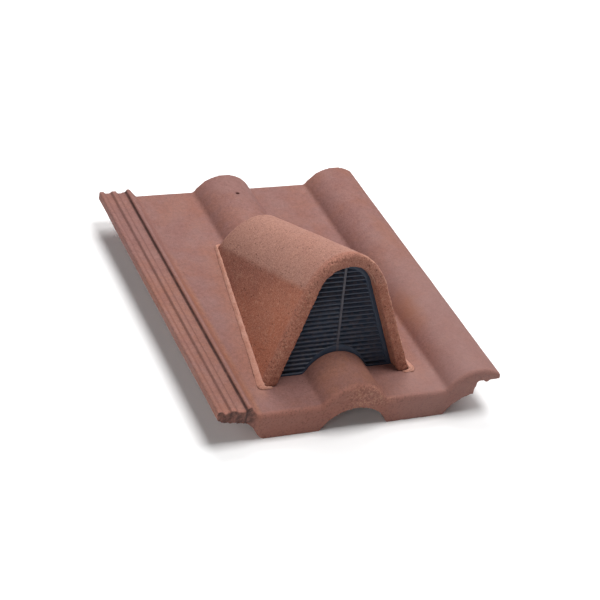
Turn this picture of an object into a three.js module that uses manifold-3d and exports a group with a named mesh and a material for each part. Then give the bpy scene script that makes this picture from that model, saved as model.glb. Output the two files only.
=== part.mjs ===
// A roof vent tile: a concrete double-roll interlocking tile that carries a hollow
// hood with a louvre grille in its mouth, bedded on a bead of mortar.
// Millimetres, +Z up. X runs across the tile from the side lock (low X) to the overlap
// flange (high X), and Y runs up the slope from the nose (low Y) to the head (high Y).
// The origin is the middle of the underside's bounding rectangle, at the resting plane.

import * as THREE from 'three';
import { mergeVertices } from 'three/addons/utils/BufferGeometryUtils.js';
import Module from 'manifold-3d';

const wasm = await Module();
wasm.setup();

// Tile: overall sizes
const tileLength = 420;
const tileWidth = 334;
const panHeight = 32.6;
const bodyThickness = 12.5;

// Tile: rolls, and the flange's reach past the middle of the last one
const rollPitch = 150;
const flangeReach = 25.1;
const rollBase = 75;
const rollRise = 23.2;
const rollFootFillet = 6;

// Tile: side lock on the left, heights above the resting plane
const lockUnderside = 33.3;
const lipWidth = 6.2;
const lipTop = 43.6;
const lipDraft = 1;
const outerChannelFloor = 40.6;
const middleRibStart = 14;
const middleRibWidth = 7;
const middleRibTop = 43.1;
const middleRibFall = 0.3;
const middleRibDraft = 1.8;
const innerChannelFloor = 39.9;
const innerChannelEnd = 28.8;
const innerChannelRise = 0.9;
const guardRibStart = 33;
const guardRibWidth = 4.4;
const guardRibTop = 44.7;
const ribDraft = 0.6;
const firstPanStart = 50;
const panFootRun = 4;
const panFootRise = 1;
const lockUndersideFall = 1;

// Tile: overlap flange on the right
const flangeWidth = 28;
const flangeUnderside = 42.2;
const flangeRibWidth = 5;
const flangeRibDepth = 2.6;
const flangeRibFromEdge = 12.5;
const flangeRibDraft = 1;

// Tile: nose
const noseDepth = 17;
const noseEdgeRadius = 6.8;
const thinEdgeShare = 0.42;
const lockEdgeShare = 0.08;
const archRise = 25.5;
const archRadius = 43.6;
const archOffset = 4;
const archCornerDrop = 4;
const shoulderFromPan = 7;
const shoulderWidth = 33;
const shoulderTop = 26;
const shoulderBow = 0.3;
const shoulderLipRun = 8;
const shoulderLipRise = 2.4;

// Tile: underside fittings
const nibWidth = 52;
const nibDepth = 14;
const nibFromHead = 18;
const nibTaper = 3;
const barDepth = 6;
const barDrop = 7;
const firstBarFromNose = 31;
const barPitch = 19;
const barMargin = 6;
const fittingRoot = 2;

// Tile: holes
const nailHoleRadius = 2.6;
const nailHoleFromHead = 42;
const nailHoleOffset = 2.8;
const ventHoleWidth = 66;
const ventHoleLength = 150;
const ventHoleFromNose = 102;
const ventHoleCorner = 10;

// Hood: the ridge line falls towards the head, and every other line of the hood runs with it.
// ridgeAtNose is the height of that ridge line carried forward to the tile's front edge.
const hoodOffset = -1.9;
const hoodFront = 42.6;
const hoodBack = 302;
const ridgeAtNose = 210.3;
const ridgeFall = 0.441;
const frontLean = 0.194;
const backLean = 0.1;
const hoodFootHalf = 88.8;
const crownHalf = 57.75;
const crownRise = 100.2;
const crownPeak = 0.25;
const creaseHalf = 46.5;
const crownWall = 16.8;
const legWall = 15.4;
const backWall = 15;
const mouthCrownInset = 23.35;
const mouthCrownRise = 33.3;
const hoodEdgeRadius = 7;
const legRunOn = 14;

// Mortar bead
const beadWidth = 4.4;
const beadWidthAtBack = 1.8;
const beadTaper = 0.7;
const beadHeight = 3.2;
const beadDepthInHood = 2.6;
const beadReturn = 4;
const beadEnd = 2.5;
const beadCorner = 3;

// The bead's section: shares of its width out from the hood and of its height up from the tile.
// It starts inside both of them, beadDepthInHood deep in the hood, which then cut it to fit.
const beadSection = [
  [-1, -0.4],
  [1.25, -0.4],
  [1.25, 0.05],
  [1.02, 0.26],
  [0.76, 0.52],
  [0.42, 0.82],
  [0.05, 1],
  [-1, 1.05],
];
// Its size at each end, growing over as many short steps, and then full from the leg's corner on
const beadEndSizes = [0.15, 0.45];

// Louvre grille
const grilleSetBack = 14.5;
const grilleDepth = 9;
const grilleRim = 4.5;
const rollRim = 7;
const panRim = 1.6;
const slatPitch = 5.2;
const slatThickness = 1.5;
const slatDepth = 6.5;
const slatTilt = 0.55;
const slatInset = 1.2;
const uprightWidth = 2.6;
const uprightDepth = 3;

// Clearance between pieces that touch
const gap = 0.3;

// Worked out from the sizes above
const rollRadius = (rollBase * rollBase / 4 + rollRise * rollRise) / (2 * rollRise);
const rollCentreHeight = panHeight + rollRise - rollRadius;
const lastRollCentre = tileWidth - flangeReach;
const firstRollCentre = lastRollCentre - rollPitch;
const flangeStart = tileWidth - flangeWidth;
const hoodCentre = firstRollCentre + hoodOffset;
const grilleFront = hoodFront + grilleSetBack;

// How far a cutting solid runs past what it cuts
const deepBelow = -260;
const farOut = 60;

// Straight steps in each kind of curve
const arcSteps = 32;
const filletSteps = 4;
const crownSteps = 22;
const edgeSteps = 5;
const shoulderSteps = 7;
const cornerSteps = 5;
const nailHoleSides = 16;
const beadSideSteps = 8;
const beadCornerSteps = 4;
const beadBackSteps = 40;

/** Points [x, z] on an arc, from one angle to another, measured from +Z towards +X. */
function arc(centreX, centreZ, radius, from, to, steps) {
  const points = [];
  for (let i = 0; i <= steps; i += 1) {
    const angle = from + (to - from) * i / steps;
    points.push([centreX + radius * Math.sin(angle), centreZ + radius * Math.cos(angle)]);
  }
  return points;
}

/** The roll's top with its two foot fillets, left to right, lifted off the surface by `lift`. */
function rollTop(centreX, lift, lastX) {
  const filletHeight = panHeight + rollFootFillet;
  const reach = Math.sqrt((rollRadius + rollFootFillet) ** 2 - (filletHeight - rollCentreHeight) ** 2);
  const side = Math.atan2(reach, filletHeight - rollCentreHeight);
  const fillet = rollFootFillet - lift;
  const end = lastX === undefined ? side : Math.asin((lastX - centreX) / (rollRadius + lift));
  const left = arc(centreX - reach, filletHeight, fillet, Math.PI, Math.PI - side, filletSteps);
  const top = arc(centreX, rollCentreHeight, rollRadius + lift, -side, end, arcSteps);
  const right = arc(centreX + reach, filletHeight, fillet, Math.PI + side, Math.PI, filletSteps);
  left.pop();
  right.shift();
  return lastX === undefined ? [...left, ...top, ...right] : [...left, ...top];
}

/** The tile's top outline from the lock's outer edge to the flange's edge. */
function tileTop(lift = 0) {
  const middleRibEnd = middleRibStart + middleRibWidth;
  const guardRibEnd = guardRibStart + guardRibWidth;
  const lock = [
    [0, lipTop],
    [lipWidth - lipDraft, lipTop],
    [lipWidth + lipDraft, outerChannelFloor],
    [middleRibStart, outerChannelFloor],
    [middleRibStart + middleRibDraft, middleRibTop],
    [middleRibEnd, middleRibTop - middleRibFall],
    [middleRibEnd + middleRibDraft, innerChannelFloor],
    [innerChannelEnd, innerChannelFloor],
    [guardRibStart, innerChannelFloor + innerChannelRise],
    [guardRibStart + ribDraft, guardRibTop],
    [guardRibEnd, guardRibTop],
    [firstPanStart - panFootRun + panFootRise, panHeight + panFootRise],
    [firstPanStart + panFootRise, panHeight],
  ].map(([x, z]) => [x, z + lift]);
  return [...lock, ...rollTop(firstRollCentre, lift), ...rollTop(lastRollCentre, lift, tileWidth)];
}

/** The flange's underside with its hanging rib, from the edge inwards; `draft` leans its inner side. */
function flangeUnder(draft) {
  const ribEnd = tileWidth - flangeRibFromEdge;
  return [
    [tileWidth, flangeUnderside],
    [ribEnd, flangeUnderside],
    [ribEnd - flangeRibDraft, flangeUnderside - flangeRibDepth],
    [ribEnd - flangeRibWidth, flangeUnderside - flangeRibDepth],
    [ribEnd - flangeRibWidth - draft, flangeUnderside],
  ];
}

/** The body's underside outline, from the flange's edge back to the lock's outer edge. */
function bodyUnderside() {
  const panUnderside = panHeight - bodyThickness;
  const radius = rollRadius - bodyThickness;
  const foot = Math.acos((panUnderside - rollCentreHeight) / radius);
  const endAngle = Math.asin((flangeStart - lastRollCentre) / radius);
  return [
    ...flangeUnder(flangeRibDraft),
    [flangeStart + flangeRibDraft, flangeUnderside],
    ...arc(lastRollCentre, rollCentreHeight, radius, endAngle, -foot, arcSteps / 2),
    ...arc(firstRollCentre, rollCentreHeight, radius, foot, -foot, arcSteps),
    [firstPanStart - panFootRun, panUnderside],
    [guardRibStart - 2 * lockUndersideFall, lockUnderside - lockUndersideFall],
    [0, lockUnderside],
  ];
}

/** The nose's underside outline: arches over the rolls of the course below, flat under the pans. */
function noseUnderside() {
  const centreHeight = archRise - archRadius;
  const foot = Math.acos(-centreHeight / archRadius);
  const firstCentre = firstRollCentre + archOffset;
  const lastCentre = lastRollCentre + archOffset;
  const endAngle = Math.asin((flangeStart - flangeRibDraft - lastCentre) / archRadius);
  const noseLeft = firstPanStart + shoulderFromPan;
  const bow = shoulderWidth * shoulderBow;
  const shoulder = new THREE.CubicBezierCurve(
    new THREE.Vector2(noseLeft, 0),
    new THREE.Vector2(noseLeft - bow, 0),
    new THREE.Vector2(noseLeft - bow, shoulderTop),
    new THREE.Vector2(noseLeft - shoulderWidth, shoulderTop),
  );
  return [
    ...flangeUnder(flangeRibDepth),
    [flangeStart + 2 * flangeRibDraft, flangeUnderside],
    [flangeStart, flangeUnderside - archCornerDrop],
    ...arc(lastCentre, centreHeight, archRadius, endAngle, -foot, arcSteps / 2),
    ...arc(firstCentre, centreHeight, archRadius, foot, -foot, arcSteps),
    ...shoulder.getPoints(shoulderSteps).map((point) => [point.x, point.y]),
    [shoulderLipRun, shoulderTop + shoulderLipRise],
    [0, lockUnderside],
  ];
}

/** Height of an outline's surface at x, by straight lines between its points. */
function heightAt(outline, x) {
  for (let i = 1; i < outline.length; i += 1) {
    const [x0, z0] = outline[i - 1];
    const [x1, z1] = outline[i];
    const low = Math.min(x0, x1);
    const high = Math.max(x0, x1);
    if (x >= low && x <= high && high > low) {
      return z0 + (z1 - z0) * (x - x0) / (x1 - x0);
    }
  }
  return outline[outline.length - 1][1];
}

/** A closed skin through rings of points, each ring a loop of as many points, with flat ends. */
function loft(rings) {
  const indices = wallIndices(rings);
  const flat = rings[0].map(([x, , z]) => new THREE.Vector2(x, z));
  const last = (rings.length - 1) * rings[0].length;
  const clockwise = THREE.ShapeUtils.isClockWise(flat);
  for (const [a, b, c] of THREE.ShapeUtils.triangulateShape(flat, [])) {
    const [second, third] = clockwise ? [b, c] : [c, b];
    indices.push(a, second, third);
    indices.push(last + a, last + third, last + second);
  }
  return indexed(rings, indices);
}

/** A closed tube through rings of convex sections, with its two ends filled as fans. */
function tube(rings) {
  const count = rings[0].length;
  const indices = wallIndices(rings);
  const last = (rings.length - 1) * count;
  for (let i = 1; i < count - 1; i += 1) {
    indices.push(0, i + 1, i);
    indices.push(last, last + i, last + i + 1);
  }
  return indexed(rings, indices);
}

/** Corner numbers of the triangles between each ring and the next. */
function wallIndices(rings) {
  const count = rings[0].length;
  const indices = [];
  for (let ring = 0; ring < rings.length - 1; ring += 1) {
    for (let i = 0; i < count; i += 1) {
      const a = ring * count + i;
      const b = ring * count + (i + 1) % count;
      indices.push(a, b, b + count, a, b + count, a + count);
    }
  }
  return indices;
}

/** A geometry of the rings' points and the triangles given. */
function indexed(rings, indices) {
  const geometry = new THREE.BufferGeometry();
  geometry.setAttribute('position', new THREE.Float32BufferAttribute(rings.flat(2), 3));
  geometry.setIndex(indices);
  return geometry;
}

/** A three.js geometry as a solid that can be joined and cut. */
function toSolid(geometry) {
  const bare = geometry.clone();
  bare.deleteAttribute('normal');
  bare.deleteAttribute('uv');
  const merged = mergeVertices(bare, 1e-4);
  const vertProperties = Float32Array.from(merged.attributes.position.array);
  const triVerts = Uint32Array.from(merged.index.array);
  const solid = new wasm.Manifold(new wasm.Mesh({ numProp: 3, vertProperties, triVerts }));
  return solid.volume() < 0 ? flipped(vertProperties, triVerts) : solid;
}

/** The same solid with its faces turned to point outwards. */
function flipped(vertProperties, triVerts) {
  for (let i = 0; i < triVerts.length; i += 3) {
    [triVerts[i + 1], triVerts[i + 2]] = [triVerts[i + 2], triVerts[i + 1]];
  }
  return new wasm.Manifold(new wasm.Mesh({ numProp: 3, vertProperties, triVerts }));
}

/** A cut or joined solid as a three.js geometry. */
function toGeometry(solid) {
  const { vertProperties, triVerts, numProp } = solid.getMesh();
  const positions = [];
  for (let i = 0; i < vertProperties.length; i += numProp) {
    positions.push(vertProperties[i], vertProperties[i + 1], vertProperties[i + 2]);
  }
  const geometry = new THREE.BufferGeometry();
  geometry.setAttribute('position', new THREE.Float32BufferAttribute(positions, 3));
  geometry.setIndex([...triVerts]);
  geometry.computeVertexNormals();
  return geometry;
}

/** A solid of one outline [x, z], from one y to another. */
function extruded(outline, fromY, toY) {
  const shape = new THREE.Shape(outline.map(([x, z]) => new THREE.Vector2(x, z)));
  const geometry = new THREE.ExtrudeGeometry(shape, { depth: toY - fromY, bevelEnabled: false });
  geometry.rotateX(Math.PI / 2);
  geometry.translate(0, toY, 0);
  return toSolid(geometry);
}

/** A plain block between two corners. */
function block(low, high) {
  const size = high.map((value, i) => value - low[i]);
  const geometry = new THREE.BoxGeometry(...size);
  geometry.translate(...low.map((value, i) => value + size[i] / 2));
  return toSolid(geometry);
}

/** How far a rounded edge of this radius has pulled in, at a distance from the face. */
function edgeDrop(radius, distance) {
  return distance >= radius ? 0 : radius - Math.sqrt(radius ** 2 - (radius - distance) ** 2);
}

/** The thick nose, its top edge rounded over, less where the casting is thin, least on the lock. */
function noseSolid() {
  const top = tileTop();
  const under = noseUnderside();
  const stations = [];
  for (let i = 0; i <= edgeSteps; i += 1) {
    stations.push(noseEdgeRadius * (1 - Math.cos(Math.PI / 2 * i / edgeSteps)));
  }
  stations.push(noseDepth);
  const rings = stations.map((y) => {
    const upper = top.map(([x, z]) => {
      const thickness = z - heightAt(under, x);
      const share = x < firstPanStart - panFootRun ? lockEdgeShare : thinEdgeShare;
      const radius = Math.min(noseEdgeRadius, thickness * share);
      return [x, y, z - edgeDrop(radius, y)];
    });
    return [...upper, ...under.map(([x, z]) => [x, y, z])];
  });
  return toSolid(loft(rings));
}

/** One hanging nib near the head, its sides drawn in towards the bottom. */
function nibSolid(centreX) {
  const top = panHeight - bodyThickness + fittingRoot;
  const outline = [
    [centreX - nibWidth / 2, top],
    [centreX - nibWidth / 2 + nibTaper, 0],
    [centreX + nibWidth / 2 - nibTaper, 0],
    [centreX + nibWidth / 2, top],
  ];
  const back = tileLength - nibFromHead;
  return extruded(outline, back - nibDepth, back);
}

/** The rounded opening through the tile under the hood. */
function ventHoleSolid() {
  const shape = new THREE.Shape();
  const halfX = ventHoleWidth / 2;
  const r = ventHoleCorner;
  shape.moveTo(-halfX + r, 0);
  shape.lineTo(halfX - r, 0);
  shape.absarc(halfX - r, r, r, -Math.PI / 2, 0);
  shape.lineTo(halfX, ventHoleLength - r);
  shape.absarc(halfX - r, ventHoleLength - r, r, 0, Math.PI / 2);
  shape.lineTo(-halfX + r, ventHoleLength);
  shape.absarc(-halfX + r, ventHoleLength - r, r, Math.PI / 2, Math.PI);
  shape.lineTo(-halfX, r);
  shape.absarc(-halfX + r, r, r, Math.PI, Math.PI * 1.5);
  const depth = panHeight + rollRise + farOut;
  const options = { depth, bevelEnabled: false, curveSegments: cornerSteps };
  const geometry = new THREE.ExtrudeGeometry(shape, options);
  geometry.translate(firstRollCentre, ventHoleFromNose, 0);
  return toSolid(geometry);
}

/** The nail hole through the crest of the first roll. */
function nailHoleSolid() {
  const depth = panHeight + rollRise + farOut;
  const geometry = new THREE.CylinderGeometry(nailHoleRadius, nailHoleRadius, depth, nailHoleSides);
  geometry.rotateX(Math.PI / 2);
  geometry.translate(firstRollCentre + nailHoleOffset, tileLength - nailHoleFromHead, depth / 2);
  return toSolid(geometry);
}

/** Where each pan starts and ends across the tile, left to right. */
function panSpans() {
  const foot = rollBase / 2;
  return [
    [firstPanStart, firstRollCentre - foot],
    [firstRollCentre + foot, lastRollCentre - foot],
  ];
}

/** The two weather bars that hang below a pan behind the nose. */
function weatherBars(start, end) {
  const underside = panHeight - bodyThickness;
  return [0, 1].map((step) => {
    const y = firstBarFromNose + step * barPitch;
    const low = [start + barMargin, y, underside - barDrop];
    return block(low, [end - barMargin, y + barDepth, underside + fittingRoot]);
  });
}

/** The whole tile as one casting. */
function tileSolid() {
  const outline = [...tileTop(), ...bodyUnderside()];
  let tile = extruded(outline, noseDepth - 1, tileLength).add(noseSolid());
  for (const [start, end] of panSpans()) {
    for (const fitting of [nibSolid((start + end) / 2), ...weatherBars(start, end)]) {
      tile = tile.add(fitting);
    }
  }
  return tile.subtract(ventHoleSolid()).subtract(nailHoleSolid());
}

/** Everything below an outline across the tile: what a piece resting on it is cut by. */
function below(top) {
  const outline = [[-farOut, deepBelow], [-farOut, top[0][1]], ...top];
  outline.push([tileWidth + farOut, top[top.length - 1][1]], [tileWidth + farOut, deepBelow]);
  return extruded(outline, -farOut, tileLength + farOut);
}

/**
 * One side of an arched section, crest to foot, as [x, level] pairs: an elliptic crown and a
 * straight side that touches it and passes through the foot. A level is the height a line of
 * the hood would have at the tile's front edge, before it falls away with the ridge.
 */
function archHalf(crest, half, rise, footHalf) {
  const footLevel = panHeight + ridgeFall * hoodFront;
  const centre = crest - rise;
  const u = footHalf / half;
  const w = (footLevel - centre) / rise;
  const touch = Math.PI / 2 - (Math.atan2(w, u) + Math.acos(1 / Math.hypot(u, w)));
  const points = arc(0, 0, 1, 0, touch, crownSteps).map(([x, z]) => [x * half, centre + z * rise]);
  const [touchX, touchLevel] = points[points.length - 1];
  const slope = (footHalf - touchX) / (footLevel - touchLevel);
  points.push([footHalf - slope * legRunOn, footLevel - legRunOn]);
  return points;
}

/** Both sides of an arched section, left foot over the crest to right foot. */
function archBoth(half) {
  const left = half.slice(1).reverse().map(([x, level]) => [-x, level]);
  return [...left, ...half];
}

/**
 * One side of the hood's outside section, crest to foot, as [x, level] pairs: a crown that is
 * elliptic, drawn in towards a parabola by `crownPeak`, then a crease and a flat side.
 */
function outerHalf() {
  const elliptic = (x) => crownRise * (1 - Math.sqrt(1 - (x / crownHalf) ** 2));
  const creaseDrop = elliptic(creaseHalf);
  const points = [];
  for (let i = 0; i <= crownSteps; i += 1) {
    const x = creaseHalf * i / crownSteps;
    const parabolic = creaseDrop * (x / creaseHalf) ** 2;
    points.push([x, ridgeAtNose - elliptic(x) - crownPeak * (parabolic - elliptic(x))]);
  }
  const footLevel = panHeight + ridgeFall * hoodFront;
  const slope = (hoodFootHalf - creaseHalf) / (ridgeAtNose - creaseDrop - footLevel);
  points.push([hoodFootHalf + slope * legRunOn, footLevel - legRunOn]);
  return points;
}

/** The hood's outside section, pulled in all round by `inset`. */
function outerArch(inset = 0) {
  return shrunk(archBoth(outerHalf()), inset);
}

/** The hollow's section, pulled in all round by `inset`. */
function innerArch(inset = 0) {
  const half = archHalf(
    ridgeAtNose - crownWall,
    crownHalf - mouthCrownInset,
    mouthCrownRise,
    hoodFootHalf - legWall,
  );
  return shrunk(archBoth(half), inset);
}

/** An open outline moved inwards along its own normals. */
function shrunk(points, inset) {
  return points.map(([x, z], i) => {
    const [x0, z0] = points[Math.max(i - 1, 0)];
    const [x1, z1] = points[Math.min(i + 1, points.length - 1)];
    const length = Math.hypot(x1 - x0, z1 - z0);
    return [x + inset * (z1 - z0) / length, z - inset * (x1 - x0) / length];
  });
}

/** A section's ring where it meets a leaning plane: y = at + lean * (height above the pan). */
function ringOnPlane(section, at, lean) {
  return section.map(([x, level]) => {
    const z = (level - ridgeFall * (at - lean * panHeight)) / (1 + ridgeFall * lean);
    return [hoodCentre + x, at + lean * (z - panHeight), z];
  });
}

/** The hood's outside as one block, its front and back edges rounded, grown by `grow`. */
function hoodOutside(grow = 0) {
  const rings = [];
  for (let i = 0; i <= edgeSteps; i += 1) {
    const distance = hoodEdgeRadius * (1 - Math.cos(Math.PI / 2 * i / edgeSteps));
    rings.push({ distance: distance - grow, inset: edgeDrop(hoodEdgeRadius, distance) - grow });
  }
  const front = rings.map((r) => ringOnPlane(outerArch(r.inset), hoodFront + r.distance, frontLean));
  const back = rings.map((r) => ringOnPlane(outerArch(r.inset), hoodBack - r.distance, -backLean));
  return toSolid(loft([...front, ...back.reverse()]));
}

/** A prism of the hollow's section between two leaning planes. */
function hollowBetween(inset, frontAt, frontSlope, backAt, backSlope) {
  const section = innerArch(inset);
  const front = ringOnPlane(section, frontAt, frontSlope);
  return toSolid(loft([front, ringOnPlane(section, backAt, backSlope)]));
}

/** The hollow hood, cut to the tile it stands on. */
function hoodSolid() {
  const hollow = hollowBetween(0, hoodFront - farOut, frontLean, hoodBack - backWall, -backLean);
  return hoodOutside().subtract(hollow).subtract(below(tileTop(gap)));
}

/**
 * The top edge of the grille's lower rim: `rollRim` over the roll's crest, running out to
 * `panRim` on the pans. `share` places a line part of the way up that rim.
 */
function rimTop(share) {
  return tileTop(gap).map(([x, z]) => {
    const up = Math.max(0, (z - gap - panHeight) / rollRise);
    return [x, z + share * (panRim + (rollRim - panRim) * up)];
  });
}

/** The grille's plate, pulled in all round by `inset`, above an outline and `ahead` deeper each way. */
function grillePlate(inset, floor, ahead) {
  const front = grilleFront - ahead;
  const back = grilleFront + grilleDepth + ahead;
  return hollowBetween(inset, front, frontLean, back, frontLean).subtract(below(floor));
}

/** The grille: a moulded rim that fits the hollow, thin slats that shed the rain, one upright. */
function grilleSolid() {
  const plate = grillePlate(gap, tileTop(gap), 0);
  const rim = plate.subtract(grillePlate(gap + grilleRim, rimTop(1), farOut));
  const slatEnds = grillePlate(gap + grilleRim / 2, rimTop(0.5), farOut / 2);
  const slatsTop = ridgeAtNose - ridgeFall * grilleFront;
  let slats = upright(grilleFront + slatInset / 2);
  for (let z = panHeight + slatPitch; z < slatsTop; z += slatPitch) {
    slats = slats.add(slat(z));
  }
  return rim.add(slats.intersect(slatEnds));
}

/** One slat across the whole mouth, its front edge low and its back edge high. */
function slat(z) {
  const front = grilleFront + slatInset + frontLean * (z - panHeight);
  const back = front + slatDepth;
  const rise = slatDepth * slatTilt;
  const low = firstRollCentre - rollPitch;
  const high = firstRollCentre + rollPitch;
  const ring = (x) => [
    [x, front, z],
    [x, back, z + rise],
    [x, back, z + rise + slatThickness],
    [x, front, z + slatThickness],
  ];
  return toSolid(tube([ring(low), ring(high)]));
}

/** The upright bar down the middle of the grille, leaning with it. */
function upright(at) {
  const half = uprightWidth / 2;
  const top = ridgeAtNose;
  const ring = (x) => [
    [x, at, panHeight],
    [x, at + uprightDepth, panHeight],
    [x, at + uprightDepth + frontLean * (top - panHeight), top],
    [x, at + frontLean * (top - panHeight), top],
  ];
  return toSolid(tube([ring(firstRollCentre - half), ring(firstRollCentre + half)]));
}

/** Half width of an arched section at a level, on its outside. */
function halfWidthAt(half, level) {
  for (let i = 1; i < half.length; i += 1) {
    const [x0, level0] = half[i - 1];
    const [x1, level1] = half[i];
    if (level <= level0 && level >= level1) {
      return x0 + (x1 - x0) * (level - level0) / (level1 - level0);
    }
  }
  return half[half.length - 1][0];
}

/**
 * The mortar bead's path along the hood's foot: stations with the foot's place on the tile, the
 * direction out from the hood and the bead's size, from the left leg's front round the back to
 * the right leg's. A turn of 0 points to the nose, a quarter turn to the left.
 */
function beadStations() {
  const outer = outerHalf();
  const top = tileTop(gap);
  const footHalfAt = (y) => halfWidthAt(outer, panHeight + ridgeFall * y);
  const frontHalf = footHalfAt(hoodFront);
  const backHalf = footHalfAt(hoodBack);
  const leftSide = [];
  const across = [];
  const station = (x, y, turn, size = 1) => (
    { x, y, z: heightAt(top, x), outX: -Math.sin(turn), outY: -Math.cos(turn), size }
  );
  const corner = (x, y, from, size = 1) => {
    for (let i = 0; i <= beadCornerSteps; i += 1) {
      const turn = from + Math.PI / 2 * i / beadCornerSteps;
      const px = x - beadCorner * Math.sin(turn);
      const py = y - beadCorner * Math.cos(turn);
      leftSide.push(station(px, py, turn, size + (1 - size) * i / beadCornerSteps));
    }
  };
  const inner = hoodCentre - frontHalf + legWall - beadReturn;
  beadEndSizes.forEach((size, i) => leftSide.push(station(inner - i * beadEnd, hoodFront, 0, size)));
  corner(hoodCentre - frontHalf + beadCorner, hoodFront + beadCorner, 0, beadEndSizes.at(-1));
  for (let i = 1; i < beadSideSteps; i += 1) {
    const y = hoodFront + (hoodBack - hoodFront) * i / beadSideSteps;
    leftSide.push(station(hoodCentre - footHalfAt(y), y, Math.PI / 2));
  }
  corner(hoodCentre - backHalf + beadCorner, hoodBack - beadCorner, Math.PI / 2);
  for (let i = 1; i < beadBackSteps; i += 1) {
    const x = hoodCentre - backHalf + 2 * backHalf * i / beadBackSteps;
    across.push(station(x, hoodBack - backLean * (heightAt(top, x) - panHeight), Math.PI));
  }
  const mirrored = leftSide.map((s) => ({
    ...s,
    x: 2 * hoodCentre - s.x,
    z: heightAt(top, 2 * hoodCentre - s.x),
    outX: -s.outX,
  }));
  return [...leftSide, ...across, ...mirrored.reverse()];
}

/** The bead of bonding mortar, a small fillet between the hood's foot and the tile. */
function beadSolid() {
  const top = tileTop(gap);
  const rings = beadStations().map(({ x, y, z, outX, outY, size }) => beadSection.map(([out, up]) => {
    const towardsBack = Math.max(0, (y - hoodFront) / (hoodBack - hoodFront)) ** beadTaper;
    const width = beadWidth + (beadWidthAtBack - beadWidth) * towardsBack;
    const reach = gap + out * (out < 0 ? beadDepthInHood : width) * size;
    const px = x + outX * reach;
    const py = y + outY * reach;
    const floor = Math.abs(outX) < 0.5 ? z : heightAt(top, px);
    return [px, py, floor + up * beadHeight * size];
  }));
  return toSolid(tube(rings)).subtract(hoodOutside(gap)).subtract(below(top));
}

const concrete = new THREE.MeshStandardMaterial({ color: 0x9c7067, roughness: 0.9, metalness: 0 });
const hoodConcrete = new THREE.MeshStandardMaterial({ color: 0xa06a56, roughness: 0.95, metalness: 0 });
const mortar = new THREE.MeshStandardMaterial({ color: 0xc68e7a, roughness: 0.95, metalness: 0 });
const plastic = new THREE.MeshStandardMaterial({ color: 0x1c222c, roughness: 0.5, metalness: 0 });

/** A named mesh of a finished solid. */
function piece(name, solid, material) {
  const mesh = new THREE.Mesh(toGeometry(solid), material);
  mesh.name = name;
  return mesh;
}

const ventTile = new THREE.Group();
ventTile.add(piece('vent_tile', tileSolid(), concrete));
ventTile.add(piece('vent_hood', hoodSolid(), hoodConcrete));
ventTile.add(piece('mortar_bead', beadSolid(), mortar));
ventTile.add(piece('louvre_grille', grilleSolid(), plastic));
ventTile.position.set(-tileWidth / 2, -tileLength / 2, 0);

export default ventTile;
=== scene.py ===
"""Roof vent tile: weathered concrete tile, granular hood, mortar bead and louvre grille.

Metres, +Z up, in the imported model's frame: +X across the tile from the side lock to the
overlap flange, +Y up the slope from the nose to the head.
"""

import logging
import math
from dataclasses import dataclass, field
from enum import Enum
from typing import Callable, Protocol

import bpy
from mathutils import Matrix, Vector


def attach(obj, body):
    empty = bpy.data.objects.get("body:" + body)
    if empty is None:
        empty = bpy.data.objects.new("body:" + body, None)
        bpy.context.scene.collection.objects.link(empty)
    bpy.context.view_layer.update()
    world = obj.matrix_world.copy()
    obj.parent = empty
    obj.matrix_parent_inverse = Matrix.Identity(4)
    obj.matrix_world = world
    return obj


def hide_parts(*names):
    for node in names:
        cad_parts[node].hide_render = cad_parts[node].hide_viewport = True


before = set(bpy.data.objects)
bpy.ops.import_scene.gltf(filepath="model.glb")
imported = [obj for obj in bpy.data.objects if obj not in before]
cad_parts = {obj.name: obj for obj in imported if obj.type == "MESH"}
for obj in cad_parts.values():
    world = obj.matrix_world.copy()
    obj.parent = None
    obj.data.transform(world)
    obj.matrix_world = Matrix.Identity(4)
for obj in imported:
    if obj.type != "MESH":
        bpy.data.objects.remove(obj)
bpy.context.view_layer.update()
LOG = logging.getLogger("roof_vent_tile")
MM = 0.001

Colour = tuple[int, int, int]
Socket = bpy.types.NodeSocket


class Slot(Enum):
    """Names of the material slots."""

    TILE = "tile_concrete"
    HOOD = "hood_concrete"
    MORTAR = "bonding_mortar"
    PLASTIC = "grille_plastic"


class Texture(Enum):
    """Blender's own procedural textures used to roughen a surface."""

    CLOUDS = "CLOUDS"
    STUCCI = "STUCCI"


def srgb(red: int, green: int, blue: int) -> tuple[float, float, float, float]:
    """Linear colour of a colour read off a screen.

    Args:
        red: Red, 0 to 255.
        green: Green, 0 to 255.
        blue: Blue, 0 to 255.

    Returns:
        The colour as linear red, green, blue and alpha.
    """
    def linear(value: int) -> float:
        """One channel as a linear share."""
        share = value / 255
        return share / 12.92 if share <= 0.04045 else ((share + 0.055) / 1.055) ** 2.4

    return (linear(red), linear(green), linear(blue), 1.0)


def deselect_all() -> None:
    """Leave edit mode and select nothing."""
    if bpy.context.object and bpy.context.object.mode != "OBJECT":
        bpy.ops.object.mode_set(mode="OBJECT")
    bpy.ops.object.select_all(action="DESELECT")


def activate(piece: bpy.types.Object) -> None:
    """Make a piece the only selected and active object."""
    deselect_all()
    piece.select_set(True)
    bpy.context.view_layer.objects.active = piece


def apply_modifier(piece: bpy.types.Object, kind: str, **settings: object) -> None:
    """Add a modifier, set it up and apply it to the mesh.

    Args:
        piece: The object to change.
        kind: Blender's name of the modifier's type.
        **settings: The modifier's own properties.
    """
    activate(piece)
    modifier = piece.modifiers.new(kind.title(), kind)
    for name, value in settings.items():
        setattr(modifier, name, value)
    bpy.ops.object.modifier_apply(modifier=modifier.name)


@dataclass(frozen=True)
class Noise:
    """Soft noise in a surface.

    Attributes:
        size: Size of its features, in metres.
        octaves: Number of finer octaves.
        rough: Strength of the finer octaves.
    """

    size: float
    octaves: float = 3.0
    rough: float = 0.55


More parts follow.
